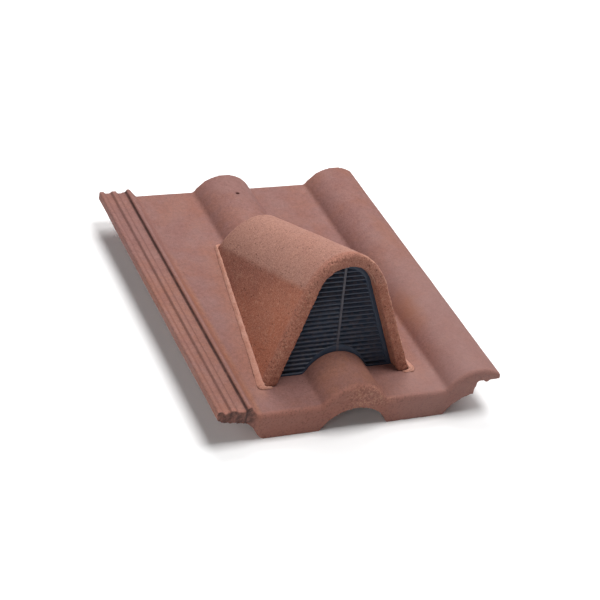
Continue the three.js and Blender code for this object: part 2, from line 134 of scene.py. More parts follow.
@dataclass(frozen=True)
class Fade:
    """A smooth change of a share along a value.

    Attributes:
        start: The value up to which the share is the first one.
        end: The value from which it is the last one.
        first: The share at the start.
        last: The share at the end.
    """

    start: float
    end: float
    first: float = 0.0
    last: float = 1.0

    def moved(self, way: float) -> "Fade":
        """The same fade further along the value."""
        return Fade(self.start + way, self.end + way, self.first, self.last)


class Canvas:
    """A material's node tree, with a short call for each kind of node it needs."""

    def __init__(self, name: str) -> None:
        """Start a material with one principled shader.

        Args:
            name: The material's name.
        """
        self.material = bpy.data.materials.new(name)
        self.material.use_nodes = True
        self.tree = self.material.node_tree
        self.shader = self.tree.nodes["Principled BSDF"]
        coordinates = self.tree.nodes.new("ShaderNodeTexCoord")
        self.place = coordinates.outputs["Object"]
        self.normal = coordinates.outputs["Normal"]
        self.x, self.y, self.z = self.split(self.place)

    def split(self, vector: Socket) -> tuple[Socket, Socket, Socket]:
        """Part a vector into its coordinates.

        Args:
            vector: The vector.

        Returns:
            Its x, y and z.
        """
        node = self.tree.nodes.new("ShaderNodeSeparateXYZ")
        self.link(vector, node.inputs["Vector"])
        return node.outputs["X"], node.outputs["Y"], node.outputs["Z"]

    def link(self, source: Socket, target: Socket) -> None:
        """Join two sockets."""
        self.tree.links.new(source, target)

    def feed(self, value: object, target: Socket) -> None:
        """Give a socket a constant or another node's output.

        Args:
            value: A number, a colour or an output socket.
            target: The socket that takes it.
        """
        if isinstance(value, Socket):
            self.link(value, target)
        else:
            target.default_value = value

    def finish(self, **values: object) -> None:
        """Give the shader's sockets their values.

        Args:
            **values: A value for each socket, by its name with underscores for spaces.
        """
        for name, value in values.items():
            self.feed(value, self.shader.inputs[name.replace("_", " ")])

    def noise(self, noise: Noise) -> Socket:
        """Add a noise.

        Args:
            noise: The noise.

        Returns:
            Its value at the place, 0 to 1.
        """
        node = self.tree.nodes.new("ShaderNodeTexNoise")
        node.inputs["Scale"].default_value = 1 / noise.size
        node.inputs["Detail"].default_value = noise.octaves
        node.inputs["Roughness"].default_value = noise.rough
        self.link(self.place, node.inputs["Vector"])
        return node.outputs["Fac"]

    def cells(self, size: float) -> Socket:
        """Distance from the nearest of many scattered points.

        Args:
            size: Typical distance between the points, in metres.

        Returns:
            The distance, as a share of the size.
        """
        node = self.tree.nodes.new("ShaderNodeTexVoronoi")
        node.inputs["Scale"].default_value = 1 / size
        self.link(self.place, node.inputs["Vector"])
        return node.outputs["Distance"]

    def fade(self, value: Socket, fade: Fade) -> Socket:
        """Map a value to a share.

        Args:
            value: The value.
            fade: The share along it.

        Returns:
            The share.
        """
        node = self.tree.nodes.new("ShaderNodeMapRange")
        node.interpolation_type = "SMOOTHSTEP"
        for name, number in (("From Min", fade.start), ("From Max", fade.end),
                             ("To Min", fade.first), ("To Max", fade.last)):
            node.inputs[name].default_value = number
        self.link(value, node.inputs["Value"])
        return node.outputs["Result"]

    def math(self, operation: str, first: object, second: object = 0.0) -> Socket:
        """Join two values by an arithmetic operation.

        Args:
            operation: Blender's name of the operation.
            first: The first value.
            second: The second value, which some operations leave unused.

        Returns:
            The result.
        """
        node = self.tree.nodes.new("ShaderNodeMath")
        node.operation = operation
        self.feed(first, node.inputs[0])
        self.feed(second, node.inputs[1])
        return node.outputs["Value"]

    def product(self, first: Socket, *others: object) -> Socket:
        """Multiply values.

        Args:
            first: The first value.
            *others: The values that it is multiplied by, in order.

        Returns:
            The product.
        """
        for other in others:
            first = self.math("MULTIPLY", first, other)
        return first

    def beside(self, value: Socket, middle: float, fade: Fade) -> Socket:
        """The share that a fade gives to a value's distance from a middle.

        Args:
            value: The value.
            middle: The middle.
            fade: The fade along the distance.

        Returns:
            The share.
        """
        away = self.math("ABSOLUTE", self.math("SUBTRACT", value, middle))
        return self.fade(away, fade)

    def mix(self, share: object, below: object, above: object) -> Socket:
        """Lay one colour over another.

        Args:
            share: Share of the colour above.
            below: The colour below.
            above: The colour above.

        Returns:
            The mixed colour.
        """
        node = self.tree.nodes.new("ShaderNodeMix")
        node.data_type = "RGBA"
        self.feed(share, node.inputs["Factor"])
        self.feed(below, self.colour_socket(node.inputs, "A"))
        self.feed(above, self.colour_socket(node.inputs, "B"))
        return self.colour_socket(node.outputs, "Result")

    @staticmethod
    def colour_socket(sockets: bpy.types.bpy_prop_collection, name: str) -> Socket:
        """The colour one among a mix node's sockets of the same name."""
        return next(s for s in sockets if s.name == name and s.type == "RGBA")

    def bump(self, height: Socket, depth: float, below: Socket | None = None) -> Socket:
        """Fine relief from a height.

        Args:
            height: The height, 0 to 1.
            depth: How deep the relief is, in metres.
            below: The relief it lies on.

        Returns:
            The bumped normal.
        """
        node = self.tree.nodes.new("ShaderNodeBump")
        node.inputs["Distance"].default_value = depth
        self.link(height, node.inputs["Height"])
        if below:
            self.link(below, node.inputs["Normal"])
        return node.outputs["Normal"]


class Layer(Protocol):
    """A layer of colour that lies over the ones before it."""

    def over(self, c: Canvas, below: object) -> Socket:
        """The colour with this layer on it."""


def layered(c: Canvas, base: object, layers: tuple[Layer, ...]) -> Socket:
    """Lay colours over one another.

    Args:
        c: The material's canvas.
        base: The lowest colour.
        layers: The layers, from the lowest up.

    Returns:
        The colour on top.
    """
    for layer in layers:
        base = layer.over(c, base)
    return base


@dataclass(frozen=True)
class Fleck:
    """Flecks or patches of a colour, where a noise is high or low.

    Attributes:
        colour: The flecks' colour.
        noise: The noise that places them.
        fade: Their share along the noise's value.
    """

    colour: Colour
    noise: Noise
    fade: Fade

    def over(self, c: Canvas, below: object) -> Socket:
        """The colour with the flecks on it."""
        return c.mix(c.fade(c.noise(self.noise), self.fade), below, srgb(*self.colour))


@dataclass(frozen=True)
class Pits:
    """Small scattered pits.

    Attributes:
        colour: Colour of the pits.
        apart: Typical distance between them, in metres.
        fade: Their share along the distance from a pit's middle, as a share of `apart`.
    """

    colour: Colour
    apart: float
    fade: Fade

    def over(self, c: Canvas, below: object) -> Socket:
        """The colour with the pits in it."""
        return c.mix(c.fade(c.cells(self.apart), self.fade), below, srgb(*self.colour))


@dataclass(frozen=True)
class MortarWash:
    """The mortar's warm wash on the tile, along both sides of the bead.

    Attributes:
        colour: Colour of the wash.
        lines: The x of the bead's left and right line at the nose, which close in up the slope.
        taper: How far each line closes in for each metre up the slope.
        start: The y where the bead starts.
        front: Share of the wash along y, ahead of the bead's start.
        back: Share of the wash along y, at the bead's end.
        noise: Noise that makes the wash's edge uneven.
        uneven: How far that noise moves the edge, in metres.
        reach: Share of the wash along the distance out from the line.
        inside: Share of the wash along the same distance, so that none lies under the hood.
    """

    colour: Colour = (146, 97, 80)
    lines: tuple[float, float] = (-0.1035, 0.0835)
    taper: float = 0.155
    start: float = -0.172
    front: Fade = Fade(-0.192, -0.172)
    back: Fade = Fade(0.07, 0.12, 1.0, 0.0)
    noise: Noise = Noise(0.03)
    uneven: float = 0.02
    reach: Fade = Fade(-0.012, 0.016, 0.8, 0.0)
    inside: Fade = Fade(-0.012, -0.002)

    def over(self, c: Canvas, below: object) -> Socket:
        """Lay the wash over a colour.

        Args:
            c: The material's canvas.
            below: The colour below.

        Returns:
            The colour with the wash on it.
        """
        inward = c.product(c.math("SUBTRACT", c.y, self.start), self.taper)
        along = c.product(c.fade(c.y, self.front), c.fade(c.y, self.back))
        for side, line in zip((-1, 1), self.lines):
            edge = c.math("SUBTRACT", line, c.product(inward, side))
            away = c.product(c.math("SUBTRACT", c.x, edge), side)
            uneven = c.math("SUBTRACT", away, c.product(c.noise(self.noise), self.uneven))
            share = c.product(c.fade(uneven, self.reach), c.fade(away, self.inside), along)
            below = c.mix(share, below, srgb(*self.colour))
        return below


@dataclass(frozen=True)
class BrownStains:
    """Brown stains beside the guard rib, on the lock and on the first roll ahead of the grille.

    Attributes:
        colour: Colour of the stains.
        noise: Noise that breaks them up.
        broken: Their share along that noise.
        downhill: Share of the gutter's and the lock's stain along y.
        gutter: The x of the guard rib's stained foot.
        gutter_width: Share of the stain along the distance from the rib's foot.
        lock: Share of the lock's stain along the distance from the rib's foot, across the tile.
        roll: The x of the first roll's crest.
        roll_width: Share of the roll's stain along the distance from its crest.
        roll_end: Share of the roll's stain along y.
    """

    colour: Colour = (144, 93, 69)
    noise: Noise = Noise(0.02, 4.0, 0.65)
    broken: Fade = Fade(0.3, 0.65, 0.35, 1.0)
    downhill: Fade = Fade(-0.02, 0.12, 1.0, 0.15)
    gutter: float = -0.1215
    gutter_width: Fade = Fade(0.003, 0.010, 0.95, 0.0)
    lock: Fade = Fade(-0.012, -0.006, 0.5, 0.0)
    roll: float = -0.0081
    roll_width: Fade = Fade(0.022, 0.045, 0.6, 0.0)
    roll_end: Fade = Fade(-0.15, -0.125, 1.0, 0.0)

    def over(self, c: Canvas, below: object) -> Socket:
        """Lay the stains over a colour.

        Args:
            c: The material's canvas.
            below: The colour below.

        Returns:
            The colour with the stains on it.
        """
        broken = c.fade(c.noise(self.noise), self.broken)
        gutter = c.beside(c.x, self.gutter, self.gutter_width)
        lock = c.fade(c.x, self.lock.moved(self.gutter))
        share = c.product(c.math("MAXIMUM", gutter, lock), c.fade(c.y, self.downhill), broken)
        below = c.mix(share, below, srgb(*self.colour))
        roll = c.beside(c.x, self.roll, self.roll_width)
        share = c.product(roll, c.fade(c.y, self.roll_end), broken)
        return c.mix(share, below, srgb(*self.colour))


@dataclass(frozen=True)
class BrownPatches:
    """Soft brown patches on the second roll, each longer up the slope than across.

    Attributes:
        colour: Colour of the patches.
        patches: The x, the y and the share of each patch.
        slimness: A patch's width as a share of its length.
        noise: Noise that makes their edges uneven.
        uneven: How far that noise moves the edges, in metres.
        edge: Where the edge starts and ends, in metres from the middle.
    """

    colour: Colour = (144, 93, 69)
    patches: tuple[tuple[float, float, float], ...] = (
        (0.115, -0.081, 0.6), (0.149, 0.068, 0.3),
    )
    slimness: float = 0.4
    noise: Noise = Noise(0.02, 4.0, 0.6)
    uneven: float = 0.016
    edge: tuple[float, float] = (0.008, 0.026)

    def over(self, c: Canvas, below: object) -> Socket:
        """Lay the patches over a colour.

        Args:
            c: The material's canvas.
            below: The colour below.

        Returns:
            The colour with the patches on it.
        """
        uneven = c.product(c.noise(self.noise), self.uneven)
        for x, y, most in self.patches:
            across = c.math("POWER", c.math("SUBTRACT", c.x, x), 2.0)
            along = c.product(c.math("SUBTRACT", c.y, y), self.slimness)
            away = c.math("SQRT", c.math("ADD", across, c.math("POWER", along, 2.0)))
            share = c.fade(c.math("ADD", away, uneven), Fade(*self.edge, most, 0.0))
            below = c.mix(share, below, srgb(*self.colour))
        return below


@dataclass(frozen=True)
class NoseFront:
    """The nose's front face, with coarse grains over the arch and pits.

    Attributes:
        colour: Colour of the face.
        cover: Share of that colour on the face.
        grit: Colour of the coarse grains.
        deep: Colour of the pits.
        face: Share of the face along y.
        arch: The x and z of the middle of the gritty place over the arch.
        grit_across: Share of the grit along the distance from the middle, across the tile.
        grit_up: Share of the grit along the distance from the middle, up and down.
        grains: The grains' noise.
        grain_share: Share of the grit along that noise.
        pits: The pits' noise.
        pit_share: Share of the pits along that noise.
    """

    colour: Colour = (150, 98, 84)
    cover: float = 0.8
    grit: Colour = (180, 130, 106)
    deep: Colour = (66, 41, 37)
    face: Fade = Fade(-0.2075, -0.2025, 1.0, 0.0)
    arch: tuple[float, float] = (0.012, 0.040)
    grit_across: Fade = Fade(0.018, 0.04, 1.0, 0.0)
    grit_up: Fade = Fade(0.009, 0.018, 1.0, 0.0)
    grains: Noise = Noise(0.0022, 2.0, 0.7)
    grain_share: Fade = Fade(0.52, 0.62, 0.0, 0.6)
    pits: Noise = Noise(0.0022, 3.0, 0.7)
    pit_share: Fade = Fade(0.34, 0.5, 0.42, 0.0)

    def share(self, c: Canvas) -> Socket:
        """Share of the front face at the place."""
        return c.fade(c.y, self.face)

    def over(self, c: Canvas, below: object) -> Socket:
        """Lay the front face over a colour.

        Args:
            c: The material's canvas.
            below: The colour below.

        Returns:
            The colour with the front face on it.
        """
        front = self.share(c)
        below = c.mix(c.product(front, self.cover), below, srgb(*self.colour))
        x, z = self.arch
        there = c.product(c.beside(c.x, x, self.grit_across), c.beside(c.z, z, self.grit_up), front)
        grains = c.fade(c.noise(self.grains), self.grain_share)
        below = c.mix(c.product(there, grains), below, srgb(*self.grit))
        pits = c.fade(c.noise(self.pits), self.pit_share)
        return c.mix(c.product(front, pits), below, srgb(*self.deep))


@dataclass(frozen=True)
class GreyerRight:
    """The greyer cast of the tile's right half, strongest downhill.

    Attributes:
        colour: Colour that the tile leans to.
        flange: Share along x over the second roll and the flange.
        pan: Share along x on the second pan, near the nose.
        pan_end: Share along y on the second pan.
        downhill: Share along y all over.
    """

    colour: Colour = (140, 107, 102)
    flange: Fade = Fade(0.09, 0.13)
    pan: Fade = Fade(0.02, 0.08)
    pan_end: Fade = Fade(-0.19, -0.12, 1.0, 0.0)
    downhill: Fade = Fade(-0.06, 0.1, 0.45, 0.0)

    def over(self, c: Canvas, below: object) -> Socket:
        """Lay the grey cast over a colour.

        Args:
            c: The material's canvas.
            below: The colour below.

        Returns:
            The colour with the grey cast on it.
        """
        pan = c.product(c.fade(c.x, self.pan), c.fade(c.y, self.pan_end))
        right = c.math("MAXIMUM", c.fade(c.x, self.flange), pan)
        return c.mix(c.product(right, c.fade(c.y, self.downhill)), below, srgb(*self.colour))


@dataclass(frozen=True)
class LockPaintedShade:
    """Painted shade along the side lock's grooves, at the ribs' feet, and on its broken front end,
    broken up into darker pits.

    Attributes:
        colour: Colour of the painted shade.
        grooves: The x, the half width and the share of painted shade of each groove along the ribs.
        groove_edge: Where a groove's painted shade starts to thin out, as a share of its half width.
        low: Share of the painted shade along z, so that the ribs' tops stay unshaded.
        noise: Noise that breaks the painted shade up.
        broken: Its share along that noise.
        ragged: Noise that makes the broken end's edge uneven.
        ragged_by: How far it moves the edge, in metres.
        end: Share of the broken end along y.
        end_across: Share of the broken end along x.
        holes: Noise of the end's pits.
        hole_share: Share of the painted shade along that noise.
    """

    colour: Colour = (66, 41, 37)
    grooves: tuple[tuple[float, float, float], ...] = (
        (-0.1342, 0.0016, 0.95), (-0.1520, 0.0016, 0.42), (-0.1441, 0.0016, 0.3),
        (-0.1605, 0.0014, 0.22),
    )
    groove_edge: float = 0.3
    low: Fade = Fade(0.0425, 0.0440, 1.0, 0.0)
    noise: Noise = Noise(0.012, 4.0, 0.7)
    broken: Fade = Fade(0.25, 0.6, 0.55, 1.0)
    ragged: Noise = Noise(0.006, 3.0, 0.6)
    ragged_by: float = 0.006
    end: Fade = Fade(-0.2066, -0.2050, 1.0, 0.0)
    end_across: Fade = Fade(-0.130, -0.118, 1.0, 0.0)
    holes: Noise = Noise(0.005, 3.0, 0.6)
    hole_share: Fade = Fade(0.4, 0.6, 0.9, 0.4)

    def over(self, c: Canvas, below: object) -> Socket:
        """Lay the painted shade over a colour.

        Args:
            c: The material's canvas.
            below: The colour below.

        Returns:
            The colour with the painted shade on it.
        """
        low = c.fade(c.z, self.low)
        broken = c.fade(c.noise(self.noise), self.broken)
        # Painted shade in each groove, standing in for the shade at the ribs' feet.
        for x, half, most in self.grooves:
            groove = c.beside(c.x, x, Fade(half * self.groove_edge, half, most, 0.0))
            below = c.mix(c.product(groove, low, broken), below, srgb(*self.colour))
        # Painted shade on the broken front end, broken up into pits.
        ragged = c.math("ADD", c.y, c.product(c.noise(self.ragged), self.ragged_by))
        end = c.product(c.fade(c.x, self.end_across), c.fade(ragged, self.end))
        holes = c.fade(c.noise(self.holes), self.hole_share)
        return c.mix(c.product(end, holes), below, srgb(*self.colour))


@dataclass(frozen=True)
class TileFinish:
    """Smooth weathered face of the tile: mauve-brown, faintly mottled with orange-brown.

    Attributes:
        mauve: Main colour.
        orange: Colour of the broad warm patches.
        pale: Colour of worn places.
        dark: Colour of the grain's low places.
        deep: Colour of the pits.
        sand: Noise of the sand in the face.
        grain: Noise of the finest grain.
        nose: The nose's front face.
        weathering: Broad patches and stains, under the grain.
        grains: Mottling, sand, grain and pits.
        marks: What lies over the grain, painted shade on the side lock among it.
        sheen: Noise of the surface's roughness.
        sheen_range: Roughness along that noise.
        specular: Strength of the reflection.
        soft: Noise of the face's soft relief.
        soft_depth: Depth of the soft relief.
        grain_depth: Depth of the grain.
        front: Noise of the relief on the nose's front.
        front_depth: Depth of that relief.
    """

    mauve: Colour = (131, 91, 85)
    orange: Colour = (136, 89, 76)
    pale: Colour = (142, 103, 97)
    dark: Colour = (102, 67, 61)
    deep: Colour = (66, 41, 37)
    sand: Noise = Noise(0.0026, 3.0, 0.7)
    grain: Noise = Noise(0.0012, 2.0, 0.7)
    nose: NoseFront = NoseFront()
    weathering: tuple[Layer, ...] = (
        Fleck(orange, Noise(0.07, 6.0, 0.7), Fade(0.42, 0.66, 0.0, 0.9)),
        Fleck(pale, Noise(0.04, 5.0, 0.62), Fade(0.52, 0.78, 0.0, 0.5)),
        MortarWash(),
        BrownStains(),
    )
    grains: tuple[Layer, ...] = (
        Fleck(dark, Noise(0.0055, 4.0, 0.65), Fade(0.36, 0.6, 0.26, 0.0)),
        Fleck(dark, sand, Fade(0.34, 0.5, 0.3, 0.0)),
        Fleck(pale, sand, Fade(0.52, 0.68, 0.0, 0.3)),
        Fleck(dark, grain, Fade(0.3, 0.52, 0.5, 0.0)),
        Fleck(pale, grain, Fade(0.55, 0.75, 0.0, 0.35)),
        Pits(deep, 0.007, Fade(0.05, 0.11, 0.55, 0.0)),
    )
    # The last of these marks paints shade into the side lock's grooves and onto its broken front end.
    marks: tuple[Layer, ...] = (nose, GreyerRight(), BrownPatches(), LockPaintedShade())
    sheen: Noise = Noise(0.03)
    sheen_range: Fade = Fade(0.3, 0.7, 0.68, 0.86)
    specular: float = 0.4
    soft: Noise = Noise(0.005, 4.0, 0.6)
    soft_depth: float = 0.4 * MM
    grain_depth: float = 0.22 * MM
    front: Noise = Noise(0.0024, 4.0, 0.7)
    front_depth: float = 0.8 * MM

    def material(self) -> bpy.types.Material:
        """Build the material.

        Returns:
            The tile's material.
        """
        c = Canvas("tile_concrete")
        layers = self.weathering + self.grains + self.marks
        soft = c.bump(c.noise(self.soft), self.soft_depth)
        fine = c.bump(c.noise(self.grain), self.grain_depth, soft)
        rough = c.bump(c.product(self.nose.share(c), c.noise(self.front)), self.front_depth, fine)
        c.finish(
            Base_Color=layered(c, srgb(*self.mauve), layers),
            Roughness=c.fade(c.noise(self.sheen), self.sheen_range),
            Specular_IOR_Level=self.specular,
            Normal=rough,
        )
        return c.material


@dataclass(frozen=True)
class HoodForm:
    """Where the hood's crease, side and front stand, as its solid has them.

    Attributes:
        ridge_fall: How far the crease falls for each metre up the slope.
        crease: Height of the crease carried to y = 0.
        foot_right: The x of the right side's outside where its level is 0.
        splay: How far the sides stand out for each metre down.
        front_at_pan: The y of the front band's plane at the pans.
        front_lean: How far that plane leans back for each metre up.
        pan: Height of the pans.
    """

    ridge_fall: float = 0.441
    crease: float = 0.0767
    foot_right: float = 0.0641
    splay: float = 0.357
    front_at_pan: float = -0.1674
    front_lean: float = 0.194
    pan: float = 0.0326

    def level(self, c: Canvas) -> Socket:
        """Height of the place above the ridge's fall."""
        return c.math("ADD", c.z, c.product(c.y, self.ridge_fall))

    def behind(self, c: Canvas) -> Socket:
        """How far behind the front's plane the place is."""
        lean = c.product(c.math("SUBTRACT", c.z, self.pan), self.front_lean)
        return c.math("SUBTRACT", c.math("SUBTRACT", c.y, lean), self.front_at_pan)

    def behind_at(self, place: Vector) -> float:
        """How far behind the front's plane a vertex is."""
        return place.y - self.front_at_pan - self.front_lean * (place.z - self.pan)


@dataclass(frozen=True)
class HoodPaintedShade:
    """The hood's crown above the crease, painted lighter as painted light, and its sides below,
    painted darker as painted shade.

    Attributes:
        form: Where the crease is.
        top: Colour of the crown, lighter than the sides as painted light.
        side: Colour of the flat sides near their foot and front, a lighter painted shade.
        shaded: Colour of the flat sides near the crease and the back, the darkest painted shade.
        wobble: Noise that makes the crease's line uneven.
        wobble_by: How far it moves the line, in metres.
        crease_edge: Share of the crown along the height above the crease.
        cloud: Noise that clouds both zones.
        cloud_share: What it adds to the shares.
        depth_weight: How fast the sides' painted shade changes for each metre below the crease.
        slope_weight: How fast it changes for each metre down the slope.
        cloud_weight: How much the clouds change them.
    """

    form: HoodForm
    top: Colour = (155, 112, 99)
    side: Colour = (162, 98, 75)
    shaded: Colour = (136, 84, 70)
    wobble: Noise = Noise(0.02, 4.0, 0.6)
    wobble_by: float = 0.006
    crease_edge: Fade = Fade(-0.003, 0.008)
    cloud: Noise = Noise(0.05, 4.0, 0.6)
    cloud_share: Fade = Fade(0.3, 0.7, -0.2, 0.2)
    depth_weight: float = 9.0
    slope_weight: float = 5.0
    cloud_weight: float = 0.8

    def crown(self, c: Canvas) -> Socket:
        """Share of the crown at the place.

        Args:
            c: The material's canvas.

        Returns:
            The share, which falls to 0 just below the crease.
        """
        wobble = c.product(c.noise(self.wobble), self.wobble_by)
        uneven = c.math("ADD", self.form.level(c), wobble)
        return c.fade(uneven, self.crease_edge.moved(self.form.crease))

    def over(self, c: Canvas, below: object) -> Socket:
        """Lay the crown's painted light and the sides' painted shade over the darkest painted shade.

        Args:
            c: The material's canvas.
            below: The colour below.

        Returns:
            The colours with the painted light and shade.
        """
        cloud = c.fade(c.noise(self.cloud), self.cloud_share)
        depth = c.product(c.math("SUBTRACT", self.form.crease, self.form.level(c)), self.depth_weight)
        towards = c.math("ADD", depth, c.product(c.y, -self.slope_weight))
        towards = c.math("ADD", towards, c.product(cloud, self.cloud_weight))
        # Painted shade on the sides, darkest just below the crease and towards the back.
        lower = c.mix(c.fade(towards, Fade(0.0, 1.0)), below, srgb(*self.side))
        # Painted light: the lighter crown above the crease.
        return c.mix(c.math("ADD", self.crown(c), cloud), lower, srgb(*self.top))


@dataclass(frozen=True)
class FrontBand:
    """The hood's front band around the mouth.

    Attributes:
        form: Where the front is.
        colour: Colour of the band.
        depth: Its share along the distance behind the front.
    """

    form: HoodForm
    colour: Colour = (152, 98, 82)
    depth: Fade = Fade(0.009, 0.015, 0.7, 0.0)

    def over(self, c: Canvas, below: object) -> Socket:
        """The colour with the band on it."""
        return c.mix(c.fade(self.form.behind(c), self.depth), below, srgb(*self.colour))


@dataclass(frozen=True)
class CrumbledRim:
    """Coarse pits and crumbs along the mouth's rim.

    Attributes:
        form: Where the front is.
        pits: The pits.
        crumbs: The pale crumbs.
        depth: The rim's share along the distance behind the front.
        front: The rim's share along the same distance, at the front itself.
    """

    form: HoodForm
    pits: Fleck
    crumbs: Fleck
    depth: Fade = Fade(0.002, 0.013, 1.0, 0.0)
    front: Fade = Fade(-0.0005, 0.0012)

    def over(self, c: Canvas, below: object) -> Socket:
        """Lay the rim's pits and crumbs over a colour.

        Args:
            c: The material's canvas.
            below: The colour below.

        Returns:
            The colour with the rim on it.
        """
        behind = self.form.behind(c)
        rim = c.product(c.fade(behind, self.depth), c.fade(behind, self.front))
        for fleck in (self.pits, self.crumbs):
            share = c.product(rim, c.fade(c.noise(fleck.noise), fleck.fade))
            below = c.mix(share, below, srgb(*fleck.colour))
        return below


@dataclass(frozen=True)
class PaintedEdgeHighlight:
    """A painted highlight along the outer edge of the hood's front, over the crown and down the right
    limb, where the rounded edge catches the light from the right.

    Attributes:
        zones: The hood's zones, for its crown.
        colour: Colour of the painted highlight.
        start: Its share along the distance behind the front, where it starts.
        end: Its share along the same distance, where it ends.
        right: Its share along x, from none on the left to most on the right, where the light falls.
        outside: Its share along the distance in from the right side's outside.
        noise: Noise that breaks it up.
        broken: Its share along that noise.
    """

    zones: HoodPaintedShade
    colour: Colour = (206, 160, 138)
    start: Fade = Fade(0.0015, 0.004)
    end: Fade = Fade(0.005, 0.0085, 1.0, 0.0)
    right: Fade = Fade(-0.005, 0.02, 0.0, 0.55)
    outside: Fade = Fade(0.006, 0.009, 1.0, 0.0)
    noise: Noise = Noise(0.006, 3.0, 0.6)
    broken: Fade = Fade(0.35, 0.55)

    def over(self, c: Canvas, below: object) -> Socket:
        """Lay the painted highlight over a colour.

        Args:
            c: The material's canvas.
            below: The colour below.

        Returns:
            The colour with the painted highlight on it.
        """
        form = self.zones.form
        behind = form.behind(c)
        outer = c.math("SUBTRACT", form.foot_right, c.product(form.level(c), form.splay))
        outer = c.fade(c.math("SUBTRACT", outer, c.x), self.outside)
        where = c.product(c.fade(c.x, self.right), c.math("MAXIMUM", outer, self.zones.crown(c)))
        edge = c.product(c.fade(behind, self.start), c.fade(behind, self.end))
        # Painted highlight on the rounded outer edge, on the right side only.
        share = c.product(edge, where, c.fade(c.noise(self.noise), self.broken))
        return c.mix(share, below, srgb(*self.colour))


@dataclass(frozen=True)
class HoodFinish:
    """Sandy, granular red-brown concrete of the hood, its sides painted darker below the crease as
    painted shade, with a painted highlight along the right of the front edge.

    Attributes:
        form: Where the hood's crease, side and front stand.
        pale: Colour of the raised grains.
        dark: Colour of the pits.
        clump: Noise of the clumped sand.
        grain: Noise of the sand grains.
        zones: The crown's painted light and the sides' painted shade.
        pit_apart: Distance between the larger pits, in metres.
        layers: What lies over the zones.
        roughness: Roughness of the concrete.
        specular: Strength of the reflection.
        grain_depth: Depth of the grain.
        pit_shape: Height along the distance from a pit's middle.
        pit_depth: Depth of the larger pits.
    """

    form: HoodForm = HoodForm()
    pale: Colour = (186, 138, 116)
    dark: Colour = (84, 49, 42)
    clump: Noise = Noise(0.00338, 3.0, 0.7)
    grain: Noise = Noise(0.0013, 2.0, 0.6)
    zones: HoodPaintedShade = HoodPaintedShade(form)
    pit_apart: float = 0.0075
    layers: tuple[Layer, ...] = (
        # Painted light on the crown and painted shade on the sides.
        zones,
        FrontBand(form),
        Fleck(pale, Noise(0.018, 4.0, 0.6), Fade(0.55, 0.8, 0.0, 0.35)),
        Fleck(pale, clump, Fade(0.54, 0.7, 0.0, 0.42)),
        Fleck(dark, clump, Fade(0.32, 0.46, 0.34, 0.0)),
        Fleck(pale, grain, Fade(0.52, 0.72, 0.0, 0.5)),
        Fleck(dark, grain, Fade(0.3, 0.48, 0.6, 0.0)),
        Pits(dark, pit_apart, Fade(0.07, 0.15, 0.75, 0.0)),
        CrumbledRim(
            form,
            pits=Fleck(dark, Noise(0.0019, 3.0, 0.7), Fade(0.36, 0.5, 0.55, 0.0)),
            crumbs=Fleck(pale, Noise(0.0021, 3.0, 0.7), Fade(0.54, 0.64, 0.0, 0.5)),
        ),
        # Painted highlight along the front's outer edge, over the crown and down the right limb.
        PaintedEdgeHighlight(zones),
    )
    roughness: float = 0.92
    specular: float = 0.3
    grain_depth: float = 0.6 * MM
    pit_shape: Fade = Fade(0.05, 0.2)
    pit_depth: float = 0.6 * MM

    def material(self) -> bpy.types.Material:
        """Build the material.

        Returns:
            The hood's material.
        """
        c = Canvas("hood_concrete")
        sand = c.bump(c.noise(self.grain), self.grain_depth)
        pits = c.bump(c.fade(c.cells(self.pit_apart), self.pit_shape), self.pit_depth, sand)
        # The base colour is the sides' darkest painted shade.
        c.finish(
            Base_Color=layered(c, srgb(*self.zones.shaded), self.layers),
            Roughness=self.roughness,
            Specular_IOR_Level=self.specular,
            Normal=pits,
        )
        return c.material


@dataclass(frozen=True)
class MortarFinish:
    """Pale salmon bonding mortar.

    Attributes:
        body: Main colour.
        dusty: Colour of dusty patches.
        dark: Colour of the grain's low places.
        grain: Noise of the grain.
        layers: Dusty patches and grain.
        roughness: Roughness of the mortar.
        grain_depth: Depth of the grain.
    """

    body: Colour = (170, 118, 100)
    dusty: Colour = (181, 134, 118)
    dark: Colour = (136, 86, 70)
    grain: Noise = Noise(0.0012, 2.0, 0.6)
    layers: tuple[Layer, ...] = (
        Fleck(dusty, Noise(0.012, 4.0, 0.6), Fade(0.35, 0.65)),
        Fleck(dark, grain, Fade(0.3, 0.5, 0.6, 0.0)),
    )
    roughness: float = 0.9
    grain_depth: float = 0.4 * MM

    def material(self) -> bpy.types.Material:
        """Build the material.

        Returns:
            The bead's material.
        """
        c = Canvas("bonding_mortar")
        c.finish(
            Base_Color=layered(c, srgb(*self.body), self.layers),
            Roughness=self.roughness,
            Normal=c.bump(c.noise(self.grain), self.grain_depth),
        )
        return c.material


